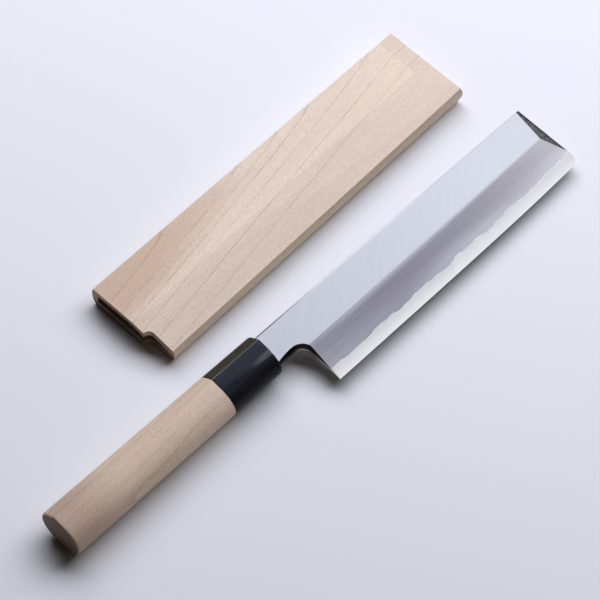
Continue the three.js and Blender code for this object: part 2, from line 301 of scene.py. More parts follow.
# %% Pores and stains
def scatter_pores(tree, board):
    pore_length = 1.6
    pore_width = 0.35
    streaks = add_node(
        tree, "ShaderNodeMapping",
        {"Vector": board, "Scale": (1 / pore_length, 1 / pore_width, 1 / pore_width)},
    )
    pores = add_node(
        tree, "ShaderNodeTexNoise",
        {"Vector": streaks.outputs["Vector"], "Scale": 1.0, "Detail": 3.0, "Roughness": 0.65},
    )
    return pores.outputs["Fac"]


def lay_stain(tree, board, middle, half_size, turn):
    in_halves = add_node(
        tree, "ShaderNodeMapping",
        {"Vector": board, "Location": middle, "Rotation": (0.0, 0.0, turn), "Scale": half_size},
        vector_type="TEXTURE",
    )
    out = add_node(
        tree, "ShaderNodeVectorMath", {0: in_halves.outputs["Vector"]}, operation="LENGTH",
    )
    stain = add_node(
        tree, "ShaderNodeMapRange",
        {"Value": out.outputs["Value"], "From Min": 1.0, "From Max": 0.3},
        interpolation_type="SMOOTHSTEP",
    )
    return stain.outputs["Result"]


print("pores and stains ready")

# %% [markdown]
# Sawn across, the vessels stand open and swallow the light, so end grain looks much darker than
# the planed faces. The normal tells the two apart: on end grain it points along the piece. Edges
# are rubbed smooth and a little paler where the piece is taken in the hand, and the Bevel node
# finds them: it gives the normal of a rounded edge, which differs from the true one only there.

# %% End grain and rubbed edges
def find_end_grain(tree):
    place = add_node(tree, "ShaderNodeTexCoord", {})
    normal = add_node(tree, "ShaderNodeSeparateXYZ", {"Vector": place.outputs["Normal"]})
    along = add_node(tree, "ShaderNodeMath", {0: normal.outputs["X"]}, operation="ABSOLUTE")
    ends = add_node(
        tree, "ShaderNodeMapRange",
        {"Value": along.outputs["Value"], "From Min": 0.6, "From Max": 0.95},
    )
    return ends.outputs["Result"]


def find_edges(tree, radius):
    true_normal = add_node(tree, "ShaderNodeNewGeometry", {})
    rounded = add_node(tree, "ShaderNodeBevel", {"Radius": radius * mm}, samples=6)
    likeness = add_node(
        tree, "ShaderNodeVectorMath",
        {0: true_normal.outputs["Normal"], 1: rounded.outputs["Normal"]},
        operation="DOT_PRODUCT",
    )
    edges = add_node(
        tree, "ShaderNodeMapRange",
        {"Value": likeness.outputs["Value"], "From Min": 0.99, "From Max": 0.9},
    )
    return edges.outputs["Result"]


print("end grain and edges ready")

# %% [markdown]
# Each facet of a board is painted with its own light and shade, as the lamp would fall on it. The normal
# tells the facets apart. The upper facet gets a painted sheen that changes towards the ridge, the one
# that slopes to the edge side gets a painted tone of its own, and both grow along the board. The long
# side is painted lighter, and a facet that slants to the end is painted darker.

# %% Painted light and shade of the facets
def find_sides(tree):
    place = add_node(tree, "ShaderNodeTexCoord", {})
    normal = add_node(tree, "ShaderNodeSeparateXYZ", {"Vector": place.outputs["Normal"]})
    upright = add_node(
        tree, "ShaderNodeMapRange", {"Value": normal.outputs["Y"], "From Min": -0.3, "From Max": -0.7},
    )
    return upright.outputs["Result"]


def paint_facet_light(tree, board, ridge, light_grows_over, ridge_light_tone, slope_light_tone, side_tone):
    ridge_reach = 14.0
    end_slant_shade = 0.87
    place = add_node(tree, "ShaderNodeSeparateXYZ", {"Vector": board})
    coordinates = add_node(tree, "ShaderNodeTexCoord", {})
    normal = add_node(tree, "ShaderNodeSeparateXYZ", {"Vector": coordinates.outputs["Normal"]})
    # Everything below paints light and shade onto the facets
    upper_light_tone = add_node(
        tree, "ShaderNodeMapRange",
        {
            "Value": place.outputs["Y"], "From Min": ridge - ridge_reach, "From Max": ridge,
            "To Min": 1.0, "To Max": ridge_light_tone,
        },
    )
    sloping = add_node(
        tree, "ShaderNodeMapRange", {"Value": normal.outputs["Y"], "From Min": -0.02, "From Max": -0.05},
    )
    facet_light_tone = add_node(
        tree, "ShaderNodeMix",
        {0: sloping.outputs["Result"], 2: upper_light_tone.outputs["Result"], 3: slope_light_tone},
    )
    light_growth = add_node(
        tree, "ShaderNodeMapRange",
        {"Value": place.outputs["X"], "From Min": light_grows_over[0], "From Max": light_grows_over[1]},
    )
    top_light_tone = add_node(
        tree, "ShaderNodeMix", {0: light_growth.outputs["Result"], 2: 1.0, 3: facet_light_tone.outputs[0]},
    )
    # The long sides are painted lighter
    facet_and_side_light = add_node(
        tree, "ShaderNodeMix", {0: find_sides(tree), 2: top_light_tone.outputs[0], 3: side_tone},
    )
    slant_shade_tone = add_node(
        tree, "ShaderNodeMapRange",
        {
            "Value": normal.outputs["X"], "From Min": 0.03, "From Max": 0.06,
            "To Min": 1.0, "To Max": end_slant_shade,
        },
    )
    painted_light_tone = add_node(
        tree, "ShaderNodeMath",
        {0: facet_and_side_light.outputs[0], 1: slant_shade_tone.outputs["Result"]},
        operation="MULTIPLY",
    )
    return painted_light_tone.outputs["Value"]


print("facets ready")

# %% [markdown]
# A board also has broad bands of tone, where the tree grew faster or slower. Bands, pores and the painted
# light and shade of the facets each lighten or darken the wood a little, so their tones are multiplied.

# %% Tone of the wood
def tone_wood(tree, board, pores, facet_light):
    band_length = 60.0
    band_width = 6.0
    band_places = add_node(
        tree, "ShaderNodeMapping",
        {"Vector": board, "Scale": (1 / band_length, 1 / band_width, 1 / band_width)},
    )
    bands = add_node(
        tree, "ShaderNodeTexNoise", {"Vector": band_places.outputs["Vector"], "Scale": 1.0},
    )
    band_tone = add_node(
        tree, "ShaderNodeMapRange",
        {
            "Value": bands.outputs["Fac"], "From Min": 0.3, "From Max": 0.7,
            "To Min": 0.95, "To Max": 1.04,
        },
    )
    pore_tone = add_node(
        tree, "ShaderNodeMapRange",
        {"Value": pores, "From Min": 0.25, "From Max": 0.75, "To Min": 0.8, "To Max": 1.2},
    )
    grain_tone = add_node(
        tree, "ShaderNodeMath",
        {0: band_tone.outputs["Result"], 1: pore_tone.outputs["Result"]},
        operation="MULTIPLY",
    )
    tone = add_node(
        tree, "ShaderNodeMath",
        {0: grain_tone.outputs["Value"], 1: paint_facet_light(tree, board, **facet_light)},
        operation="MULTIPLY",
    )
    return tone.outputs["Value"]


print("tones of the wood ready")

# %% [markdown]
# The woods differ in where they were cut and in how they were used, not in how they are made up, so one
# function puts the parts together, one over the other: the wood, its year lines, a stain, the tones with
# the painted light and shade of the facets, a painted warm tint of the light on its long side, rubbed
# edges and end grain. The rubbing is faint and half a millimetre wide, and the pores are duller than the
# wood between them.

# %% Put a magnolia together
def make_magnolia(name, ruler, rings, colours, stain, facet_light, roughness):
    rub_width = 0.5
    rub_strength = 0.4
    material = bpy.data.materials.new(name)
    material.use_nodes = True
    tree = material.node_tree
    board = lay_ruler(tree, **ruler)
    distance = measure_from_heart(tree, board, rings["heart"], rings["run_out"], rings["sway_size"])
    pores = scatter_pores(tree, board)
    colour = {part: linear(code) for part, code in colours.items()}
    lined = add_node(
        tree, "ShaderNodeMix",
        {0: draw_year_lines(tree, board, distance, rings["radii"]), 6: colour["wood"], 7: colour["line"]},
        data_type="RGBA",
    )
    stained = add_node(
        tree, "ShaderNodeMix",
        {0: lay_stain(tree, board, **stain), 6: lined.outputs[2], 7: colour["stain"]},
        data_type="RGBA", blend_type="MULTIPLY",
    )
    toned = add_node(
        tree, "ShaderNodeMix",
        {0: 1.0, 6: stained.outputs[2], 7: tone_wood(tree, board, pores, facet_light)},
        data_type="RGBA", blend_type="MULTIPLY",
    )
    # Painted light: a warm tint of the light on the long sides
    sided = add_node(
        tree, "ShaderNodeMix",
        {0: find_sides(tree), 6: toned.outputs[2], 7: colour["side"]},
        data_type="RGBA", blend_type="MULTIPLY",
    )
    edge_strength = add_node(
        tree, "ShaderNodeMath", {0: find_edges(tree, rub_width), 1: rub_strength}, operation="MULTIPLY",
    )
    wear_and_reflection = add_node(
        tree, "ShaderNodeMix",
        {0: edge_strength.outputs["Value"], 6: sided.outputs[2], 7: colour["edge"]},
        data_type="RGBA",
    )
    ended = add_node(
        tree, "ShaderNodeMix",
        {0: find_end_grain(tree), 6: wear_and_reflection.outputs[2], 7: colour["end"]},
        data_type="RGBA", blend_type="MULTIPLY",
    )
    sheen = add_node(
        tree, "ShaderNodeMapRange",
        {
            "Value": pores, "From Min": 0.3, "From Max": 0.7,
            "To Min": roughness + 0.08, "To Max": roughness - 0.04,
        },
    )
    grain = add_node(
        tree, "ShaderNodeBump", {"Height": pores, "Strength": 0.12, "Distance": 0.05 * mm},
    )
    shader = tree.nodes["Principled BSDF"]
    tree.links.new(ended.outputs[2], shader.inputs["Base Color"])
    tree.links.new(sheen.outputs["Result"], shader.inputs["Roughness"])
    tree.links.new(grain.outputs["Normal"], shader.inputs["Normal"])
    print(name, "with year lines at", rings["radii"], "mm")
    return material


# %% [markdown]
# ### Sheath wood
#
# The boards of the sheath were sawn close to the heart, so the lines bend away over the board, and the
# plane left a slight sheen. Towards the mouth the spine side has a brown stain. The upper facet is
# painted a little paler towards the ridge, 27.8 mm from the spine side, as a painted sheen.

# %% Sheath wood
sheath_ridge = 27.8
sheath_ruler = dict(corner=sheath_corner, turn=0.0)
sheath_heart = dict(heart=Vector((0.0, -2.0, 2.5)), run_out=0.135, sway_size=2.0)
sheath_wood = make_magnolia(
    "planed_magnolia",
    ruler=sheath_ruler,
    rings=dict(radii=(18.2, 25.2, 28.8, 32.2, 38.4, 46.0, 54.5), **sheath_heart),
    # The colour of the long side is a painted warm tint of the light there
    colours=dict(
        wood="#DDC7AE", line="#A68566", stain="#E6DACD",
        side="#FFFDF7", edge="#E9D8C0", end="#C4B4A6",
    ),
    stain=dict(
        middle=Vector((0.0, 10.0, 13.0)), half_size=Vector((120.0, 23.0, 40.0)),
        turn=math.radians(-6),
    ),
    # The facet tones are painted light and shade
    facet_light=dict(
        ridge=sheath_ridge, light_grows_over=(20.0, 100.0),
        ridge_light_tone=1.03, slope_light_tone=0.96, side_tone=1.15,
    ),
    roughness=0.45,
)

# %% [markdown]
# ### Slot wood and lip wood
#
# The slot is chiselled out before the boards are glued and left rough. It lies in shade deep in the
# sheath, and that shade is painted into its colour, so it looks nearly black from outside. No plane has
# touched it, so its facets are all of one tone.

# %% Slot wood
slot_rings = dict(radii=(18.2, 25.2, 32.2, 38.4, 46.0), **sheath_heart)
even_facets = dict(
    ridge=sheath_ridge, light_grows_over=(20.0, 100.0), ridge_light_tone=1.0, slope_light_tone=1.0, side_tone=1.0,
)
slot_shade_wood = make_magnolia(
    "shaded_slot_magnolia",
    ruler=sheath_ruler,
    rings=slot_rings,
    colours=dict(
        wood="#2E241B", line="#231B13", stain="#E7DED8",
        side="#FFFFFF", edge="#3B2E23", end="#B0A090",
    ),
    stain=dict(middle=Vector((0.0, 26.0, 8.0)), half_size=Vector((60.0, 30.0, 30.0)), turn=0.0),
    facet_light=even_facets,
    roughness=0.7,
)

# %% [markdown]
# The lip under the slot lies in the shadow of the mouth, and that shade is painted into its colour, less
# dark than in the slot. It looks brown.

# %% Lip wood
lip_shade_wood = make_magnolia(
    "shaded_lip_magnolia",
    ruler=sheath_ruler,
    rings=slot_rings,
    colours=dict(
        wood="#8B7A66", line="#766655", stain="#E7DED8",
        side="#FFFFFF", edge="#6B5E50", end="#D8CEC4",
    ),
    stain=dict(middle=Vector((0.0, 26.0, 3.0)), half_size=Vector((60.0, 30.0, 30.0)), turn=0.0),
    facet_light=even_facets,
    roughness=0.6,
)

# %% [markdown]
# ### Handle wood
#
# The handle is sanded rather than planed, so it has hardly any sheen, and it has darkened at the butt,
# where the hand ends. Its facets get painted light and shade all along the handle: the spine side is
# painted darker towards the ridge, the facet that slopes to the edge side a little lighter, and the long
# side lighter still.

# %% Handle wood
handle_wood = make_magnolia(
    "handled_magnolia",
    ruler=dict(corner=knife_corner, turn=knife_turn),
    rings=dict(
        heart=Vector((0.0, -52.0, -10.0)), run_out=0.06, sway_size=2.5,
        radii=(42.0, 48.5, 52.0, 57.0, 63.0, 68.0, 72.0),
    ),
    colours=dict(
        wood="#D9C1A7", line="#9D7E62", stain="#DED8D4",
        side="#FFFFFF", edge="#DFCCB3", end="#978980",
    ),
    stain=dict(middle=Vector((-145.0, 8.0, 12.0)), half_size=Vector((50.0, 80.0, 80.0)), turn=0.0),
    # The facet tones are painted light and shade
    facet_light=dict(
        ridge=5.2, light_grows_over=(-200.0, -190.0), ridge_light_tone=0.9, slope_light_tone=1.02, side_tone=1.14,
    ),
    roughness=0.58,
)

# %% [markdown]
# ### Buffalo horn
#
# The ferrule is cut from the tip of a water buffalo's horn, where it is solid and nearly black.
# Horn grows in fibres along its length, so its colour runs in faint streaks from blue black to brown. It
# could be one black with a noise on it, but each facet is painted with a tone of its own, which stands
# partly for what it reflects, and the edge between two of them is a fine pale line, a painted highlight.
# A colour ramp across the ferrule gives that.

# %% Tones and painted light across the horn
horn_start = -5.0
horn_width = 30.0
horn = bpy.data.materials.new("polished_buffalo_horn")
horn.use_nodes = True
tree = horn.node_tree
ruler = lay_ruler(tree, knife_corner, knife_turn)
horn_place = add_node(tree, "ShaderNodeSeparateXYZ", {"Vector": ruler})
across_place = add_node(
    tree, "ShaderNodeMapRange",
    {"Value": horn_place.outputs["Y"], "From Min": horn_start, "From Max": horn_start + horn_width},
)
horn_tones_and_light = add_node(tree, "ShaderNodeValToRGB", {"Fac": across_place.outputs["Result"]})
stops = horn_tones_and_light.color_ramp.elements
# Brown black on the spine side, a pale painted highlight on the edge, then blue black with painted shade
# that darkens downwards
stops[0].position = 0.33
stops[0].color = linear("#2B2820")
stops[1].position = 1.0
stops[1].color = linear("#0C0C0E")
stops.new(0.34).color = linear("#7C7D7C")
stops.new(0.35).color = linear("#2A2E35")
stops.new(0.42).color = linear("#222731")
stops.new(0.6).color = linear("#22262E")
stops.new(0.75).color = linear("#1F1F23")
print("horn has", len(stops), "tones over", horn_width, "mm")

# %% [markdown]
# The fibres vary the tone. They also keep the polish from being perfect: they are felt as a faint
# relief and are a little duller than what lies between them. Real ones are finer than a hair.

# %% Fibres of the horn
# Fibres some 20 mm long, drawn 1.5 mm wide so that they show
fibre_length = 20.0
fibre_width = 1.5
fibre_places = add_node(
    tree, "ShaderNodeMapping",
    {"Vector": ruler, "Scale": (1 / fibre_length, 1 / fibre_width, 1 / fibre_width)},
)
fibres = add_node(
    tree, "ShaderNodeTexNoise",
    {"Vector": fibre_places.outputs["Vector"], "Scale": 1.0, "Detail": 4.0, "Roughness": 0.6},
)
fibre_tone = add_node(
    tree, "ShaderNodeMapRange",
    {"Value": fibres.outputs["Fac"], "From Min": 0.3, "From Max": 0.7, "To Min": 0.75, "To Max": 1.25},
)
fibred = add_node(
    tree, "ShaderNodeMix",
    {0: 1.0, 6: horn_tones_and_light.outputs["Color"], 7: fibre_tone.outputs["Result"]},
    data_type="RGBA", blend_type="MULTIPLY",
)
# A soft pale streak near the spine side is a painted reflection
painted_reflection_streak = lay_stain(tree, ruler, Vector((-2.0, 13.6, 20.0)), Vector((13.0, 2.2, 12.0)), 0.0)
streaked = add_node(
    tree, "ShaderNodeMix",
    {0: painted_reflection_streak, 6: fibred.outputs[2], 7: linear("#565458")},
    data_type="RGBA",
)
polish = add_node(
    tree, "ShaderNodeMapRange",
    {"Value": fibres.outputs["Fac"], "From Min": 0.3, "From Max": 0.7, "To Min": 0.22, "To Max": 0.32},
)
horn_grain = add_node(
    tree, "ShaderNodeBump",
    {"Height": fibres.outputs["Fac"], "Strength": 0.05, "Distance": 0.1 * mm},
)
horn_shader = tree.nodes["Principled BSDF"]
tree.links.new(streaked.outputs[2], horn_shader.inputs["Base Color"])
tree.links.new(polish.outputs["Result"], horn_shader.inputs["Roughness"])
tree.links.new(horn_grain.outputs["Normal"], horn_shader.inputs["Normal"])
horn_shader.inputs["IOR"].default_value = 1.55
horn_shader.inputs["Specular IOR Level"].default_value = 0.09
print("horn ready")

# %% [markdown]
# ## Soft iron
#
# The body of the blade is soft iron, and the smith leaves it in two finishes. Above the ridge
# line it is ground on a wheel and stays bright, with fine strokes slanting across it. Below the
# ridge line it is rubbed on soft stones, which leave a grey haze with lines along the edge.
#
# The two could be two materials on the faces of one mesh, but the stones soften the ridge line,
# so the finishes run into each other over a few millimetres. One material that asks how far a
# point lies below the line where they meet does that. The line rises towards the tip, and at the
# heel it is lifted a little, because there the stones climb higher.

# %% Where the two finishes meet
meeting_depth = 24.2
meeting_rise = 0.0205
heel_lift = 1.1
softened_at_heel = 2.4
softened_at_tip = 1.1
iron = bpy.data.materials.new("ground_and_stoned_soft_iron")
iron.use_nodes = True
tree = iron.node_tree
blade = lay_ruler(tree, knife_corner, knife_turn)
blade_place = add_node(tree, "ShaderNodeSeparateXYZ", {"Vector": blade})
along_blade = blade_place.outputs["X"]
from_spine = blade_place.outputs["Y"]
levelled = add_node(
    tree, "ShaderNodeMath", {0: along_blade, 1: meeting_rise, 2: from_spine}, operation="MULTIPLY_ADD",
)
lift = add_node(
    tree, "ShaderNodeMapRange",
    {"Value": along_blade, "From Min": 20.0, "From Max": 42.0, "To Min": heel_lift, "To Max": 0.0},
)
lifted = add_node(
    tree, "ShaderNodeMath",
    {0: levelled.outputs["Value"], 1: lift.outputs["Result"]},
    operation="ADD",
)
below_meeting = add_node(
    tree, "ShaderNodeMath", {0: lifted.outputs["Value"], 1: meeting_depth}, operation="SUBTRACT",
)
softness = add_node(
    tree, "ShaderNodeMapRange",
    {
        "Value": along_blade, "From Min": 100.0, "From Max": 172.0,
        "To Min": softened_at_heel, "To Max": softened_at_tip,
    },
)
in_softness = add_node(
    tree, "ShaderNodeMath",
    {0: below_meeting.outputs["Value"], 1: softness.outputs["Result"]},
    operation="DIVIDE",
)
stoned = add_node(
    tree, "ShaderNodeMapRange",
    {"Value": in_softness.outputs["Value"], "From Min": -1.0, "From Max": 1.0},
    interpolation_type="SMOOTHSTEP",
)
print("100 mm along, the finishes meet", round(meeting_depth - 100 * meeting_rise, 2), "mm down")

# %% [markdown]
# The wheel leaves parallel strokes, all slanting one way, that scatter the light a little more or
# less. A noise that is stretched along the slant gives them. Strokes of a fine wheel are some
# 0.1 mm wide, and they are drawn 0.7 mm wide so that they show. The flat brightens to the tip.

# %% Strokes of the wheel
stroke_length = 14.0
stroke_width = 0.7
stroke_slant = math.radians(-50)
stroke_places = add_node(
    tree, "ShaderNodeMapping",
    {
        "Vector": blade,
        "Rotation": (0.0, 0.0, stroke_slant),
        "Scale": (stroke_length, stroke_width, stroke_length),
    },
    vector_type="TEXTURE",
)
strokes = add_node(
    tree, "ShaderNodeTexNoise",
    {"Vector": stroke_places.outputs["Vector"], "Scale": 1.0, "Detail": 3.0, "Roughness": 0.7},
)
stroke_tone = add_node(
    tree, "ShaderNodeMapRange",
    {"Value": strokes.outputs["Fac"], "From Min": 0.3, "From Max": 0.7, "To Min": 0.9, "To Max": 1.08},
)
heel_to_tip = add_node(
    tree, "ShaderNodeMapRange", {"Value": along_blade, "From Min": 0.0, "From Max": 150.0},
)
wheel_ground = add_node(
    tree, "ShaderNodeMix",
    {0: heel_to_tip.outputs["Result"], 6: linear("#A1A3A6"), 7: linear("#AAACAC")},
    data_type="RGBA",
)
bright = add_node(
    tree, "ShaderNodeMix",
    {0: 1.0, 6: wheel_ground.outputs[2], 7: stroke_tone.outputs["Result"]},
    data_type="RGBA", blend_type="MULTIPLY",
)
print("wheel strokes", stroke_width, "mm wide")

# %% [markdown]
# The haze is darkest a third of the way along and clears towards the tip, so its colour comes from
# a ramp along the blade. It also clears towards the steel, most of all in one long patch past the
# middle. The stones leave lines along the edge, and a noise that is stretched that way gives them.

# %% Colour of the haze
blade_reach = 200.0
length_place = add_node(tree, "ShaderNodeMath", {0: along_blade, 1: blade_reach}, operation="DIVIDE")
haze = add_node(tree, "ShaderNodeValToRGB", {"Fac": length_place.outputs["Value"]})
haze.color_ramp.interpolation = "B_SPLINE"
stops = haze.color_ramp.elements
stops[0].position = 0.1
stops[0].color = linear("#87878A")
stops[1].position = 0.97
stops[1].color = linear("#9D9B9B")
stops.new(0.35).color = linear("#75737B")
stops.new(0.6).color = linear("#828083")
stops.new(0.78).color = linear("#868485")
print("haze has", len(stops), "colours over", blade_reach, "mm")

# %% Lines of the stones
# Lines some 40 mm long, drawn 0.5 mm wide so that they show
hone_length = 40.0
hone_width = 0.5
hone_places = add_node(
    tree, "ShaderNodeMapping",
    {"Vector": blade, "Scale": (1 / hone_length, 1 / hone_width, 1 / hone_width)},
)
hone = add_node(
    tree, "ShaderNodeTexNoise",
    {"Vector": hone_places.outputs["Vector"], "Scale": 1.0, "Detail": 4.0, "Roughness": 0.7},
)
hone_tone = add_node(
    tree, "ShaderNodeMapRange",
    {"Value": hone.outputs["Fac"], "From Min": 0.3, "From Max": 0.7, "To Min": 0.8, "To Max": 1.2},
)
edge_side = add_node(
    tree, "ShaderNodeMapRange",
    {"Value": from_spine, "From Min": 28.0, "From Max": 36.5, "To Min": 1.0, "To Max": 1.28},
)
clear_patch = lay_stain(tree, blade, Vector((116.0, 38.0, 9.0)), Vector((50.0, 9.0, 20.0)), 0.0)
clearing = add_node(
    tree, "ShaderNodeMapRange", {"Value": clear_patch, "To Min": 1.0, "To Max": 1.2},
)
edge_tone = add_node(
    tree, "ShaderNodeMath",
    {0: edge_side.outputs["Result"], 1: clearing.outputs["Result"]},
    operation="MULTIPLY",
)
stone_tone = add_node(
    tree, "ShaderNodeMath",
    {0: hone_tone.outputs["Result"], 1: edge_tone.outputs["Value"]},
    operation="MULTIPLY",
)
hazed = add_node(
    tree, "ShaderNodeMix",
    {0: 1.0, 6: haze.outputs["Color"], 7: stone_tone.outputs["Value"]},
    data_type="RGBA", blend_type="MULTIPLY",
)
print("stone lines", hone_width, "mm wide")

# %% [markdown]
# On the heel half, the crease of the ridge mirrors the dim room in its slight round, and that is painted
# as a dark line of shade along the ridge line. It is drawn up to 0.7 mm wide, with soft sides, so that it
# shows. The distance from a straight line is enough to draw it.

# %% Painted shade along the ridge line
ridge_crease_depth = 22.71
ridge_crease_rise = 0.0124
crease_shade_half_width = 0.35
crease_level = add_node(
    tree, "ShaderNodeMath", {0: along_blade, 1: ridge_crease_rise, 2: from_spine}, operation="MULTIPLY_ADD",
)
from_crease = add_node(
    tree, "ShaderNodeMath", {0: crease_level.outputs["Value"], 1: ridge_crease_depth}, operation="SUBTRACT",
)
crease_off = add_node(tree, "ShaderNodeMath", {0: from_crease.outputs["Value"]}, operation="ABSOLUTE")
crease_shade_fade = add_node(
    tree, "ShaderNodeMapRange",
    {"Value": along_blade, "From Min": 20.0, "From Max": 110.0, "To Min": 0.45, "To Max": 0.0},
)
crease_shade = add_node(
    tree, "ShaderNodeMapRange",
    {
        "Value": crease_off.outputs["Value"], "From Min": crease_shade_half_width, "From Max": 0.1,
        "To Max": crease_shade_fade.outputs["Result"],
    },
)
print("scribed line", 2 * crease_shade_half_width, "mm wide")

# %% [markdown]
# In the fire, carbon wanders from the steel into the iron, further in some places than in others.
# So the border is not the smooth line of the weld: the white of the steel reaches up into the haze
# in uneven bumps of up to 0.9 mm. The points on the border are marked when the piece is made,
# with a value of 1 that falls to 0 at the ridge line, 16 mm above, and that gives the distance.

# %% Margin of the weld
bevel_width = 16.0
margin_least = -0.3
margin_most = 0.9
margin_blur = 0.15
near_weld = add_node(tree, "ShaderNodeAttribute", {}, attribute_name="near_weld")
above_weld = add_node(
    tree, "ShaderNodeMapRange",
    {"Value": near_weld.outputs["Fac"], "From Min": 1.0, "From Max": 0.0, "To Max": bevel_width},
)
# Bumps some 8 mm long, with smaller ones on them
bump_length = 8.0
bumps = add_node(
    tree, "ShaderNodeTexNoise",
    {"W": along_blade, "Scale": 1 / bump_length, "Detail": 1.0, "Roughness": 0.35},
    noise_dimensions="1D",
)
margin = add_node(
    tree, "ShaderNodeMapRange",
    {
        "Value": bumps.outputs["Fac"], "From Min": 0.25, "From Max": 0.75,
        "To Min": margin_least, "To Max": margin_most,
    },
)
in_margin = add_node(
    tree, "ShaderNodeMath",
    {0: margin.outputs["Result"], 1: above_weld.outputs["Result"]},
    operation="SUBTRACT",
)
carbon = add_node(
    tree, "ShaderNodeMapRange",
    {"Value": in_margin.outputs["Value"], "From Min": -margin_blur, "From Max": margin_blur},
)
print("margin of the weld up to", margin_most, "mm")

# %% [markdown]
# All these finishes lie on one piece of iron, so they are joined one over the other. Strokes and
# stone lines are real scratches too, so the same noises give the relief and the sheen.

# %% Join the finishes of the iron
ground = add_node(
    tree, "ShaderNodeMix",
    {0: stoned.outputs["Result"], 6: bright.outputs[2], 7: hazed.outputs[2]},
    data_type="RGBA",
)
# Painted shade: the dark line along the ridge crease
crease_shaded = add_node(
    tree, "ShaderNodeMix",
    {0: crease_shade.outputs["Result"], 6: ground.outputs[2], 7: linear("#3B3A3E")},
    data_type="RGBA",
)
margined = add_node(
    tree, "ShaderNodeMix",
    {0: carbon.outputs["Result"], 6: crease_shaded.outputs[2], 7: linear("#BBBAB5")},
    data_type="RGBA",
)
iron_relief = add_node(
    tree, "ShaderNodeMix",
    {0: stoned.outputs["Result"], 2: strokes.outputs["Fac"], 3: hone.outputs["Fac"]},
)
iron_rough = add_node(
    tree, "ShaderNodeMapRange",
    {"Value": iron_relief.outputs[0], "From Min": 0.3, "From Max": 0.7, "To Min": 0.57, "To Max": 0.65},
)
iron_bump = add_node(
    tree, "ShaderNodeBump",
    {"Height": iron_relief.outputs[0], "Strength": 0.06, "Distance": 0.02 * mm},
)
iron_shader = tree.nodes["Principled BSDF"]
tree.links.new(margined.outputs[2], iron_shader.inputs["Base Color"])
tree.links.new(iron_rough.outputs["Result"], iron_shader.inputs["Roughness"])
tree.links.new(iron_bump.outputs["Normal"], iron_shader.inputs["Normal"])
iron_shader.inputs["Metallic"].default_value = 1.0
print("soft iron ready")

# %% [markdown]
# ### Polished iron and honed steel
#
# The spine, the tip and the round behind the heel are polished, so they mirror the dim room and look
# dark. The round behind the heel also has that dark reflection painted into its colour. The steel along
# the edge is honed on a fine stone, which leaves it white and even, with the faintest lines along the
# edge. All four are metal with lines in it and differ only in colour, gloss and the size of the lines, so
# one function makes them.

# %% Polished iron and honed steel
def make_metal(name, colour, roughness, line_length, line_width, depth):
    material = bpy.data.materials.new(name)
    material.use_nodes = True
    tree = material.node_tree
    ruler = lay_ruler(tree, knife_corner, knife_turn)
    places = add_node(
        tree, "ShaderNodeMapping",
        {"Vector": ruler, "Scale": (1 / line_length, 1 / line_width, 1 / line_width)},
    )
    lines = add_node(
        tree, "ShaderNodeTexNoise",
        {"Vector": places.outputs["Vector"], "Scale": 1.0, "Detail": 4.0, "Roughness": 0.7},
    )
    tone = add_node(
        tree, "ShaderNodeMapRange",
        {
            "Value": lines.outputs["Fac"], "From Min": 0.3, "From Max": 0.7,
            "To Min": 1 - depth, "To Max": 1 + depth,
        },
    )
    toned = add_node(
        tree, "ShaderNodeMix",
        {0: 1.0, 6: linear(colour), 7: tone.outputs["Result"]},
        data_type="RGBA", blend_type="MULTIPLY",
    )
    rough = add_node(
        tree, "ShaderNodeMath", {0: tone.outputs["Result"], 1: roughness}, operation="MULTIPLY",
    )
    bump = add_node(
        tree, "ShaderNodeBump",
        {"Height": lines.outputs["Fac"], "Strength": 0.05, "Distance": 0.02 * mm},
    )
    shader = tree.nodes["Principled BSDF"]
    tree.links.new(toned.outputs[2], shader.inputs["Base Color"])
    tree.links.new(rough.outputs["Value"], shader.inputs["Roughness"])
    tree.links.new(bump.outputs["Normal"], shader.inputs["Normal"])
    shader.inputs["Metallic"].default_value = 1.0
    print(name, colour)
    return material


# Lines of a polish are finer than 0.1 mm, and all of them are drawn wider so that they show
polished_iron = make_metal(
    "polished_soft_iron", "#A7A8A6", roughness=0.2, line_length=30.0, line_width=0.4, depth=0.05,
)
# The tip is polished by hand on a small facet, so it is patchy rather than lined
tip_iron = make_metal(
    "polished_tip_iron", "#8B8A8D", roughness=0.3, line_length=4.0, line_width=2.0, depth=0.15,
)
# The choil mirrors the shaded table and the black ferrule, and that dark reflection is painted into its
# near-black colour, with a gloss on it
choil_dark_reflection_iron = make_metal(
    "choil_iron_painted_dark", "#1E1D1D", roughness=0.15, line_length=6.0, line_width=1.0, depth=0.1,
)
edge_steel = make_metal(
    "honed_edge_steel", "#C4C3BE", roughness=0.65, line_length=30.0, line_width=0.4, depth=0.02,
)

# %% [markdown]
# Four more marks only change a metal at a known place, and three of them are painted light: a reflection
# on the choil, a reflection along the spine and shade on the corner of the tip. Each could have a
# material of its own, but then its border would be a hard line along the faces, so one function lays a
# colour or a tone over the colour that a material has already.

# %% Lay a colour over a metal
def lay_over(tree, strength, colour, blend_type):
    shader = tree.nodes["Principled BSDF"]
    plain = shader.inputs["Base Color"].links[0].from_socket
    covered = add_node(
        tree, "ShaderNodeMix",
        {0: strength, 6: plain, 7: colour},
        data_type="RGBA", blend_type=blend_type,
    )
    tree.links.new(covered.outputs[2], shader.inputs["Base Color"])


def place_on_knife(tree):
    ruler = lay_ruler(tree, knife_corner, knife_turn)
    return add_node(tree, "ShaderNodeSeparateXYZ", {"Vector": ruler})


print("colours can be laid over")

# %% [markdown]
# Around the choil, the round behind the heel, the lower edge is broken by a narrow chamfer that turns
# towards the lit table, and its reflection of the table is painted as a lighter colour. Height above the
# table alone tells it.

# %% Paint the reflection of the table on the choil
table_reflection_top = 9.4
tree = choil_dark_reflection_iron.node_tree
choil_height = place_on_knife(tree).outputs["Z"]
table_reflection = add_node(
    tree, "ShaderNodeMapRange",
    {"Value": choil_height, "From Min": table_reflection_top, "From Max": table_reflection_top - 0.3},
)
lay_over(tree, table_reflection.outputs["Result"], linear("#8F887B"), "MIX")
print("choil chamfer below", table_reflection_top, "mm")
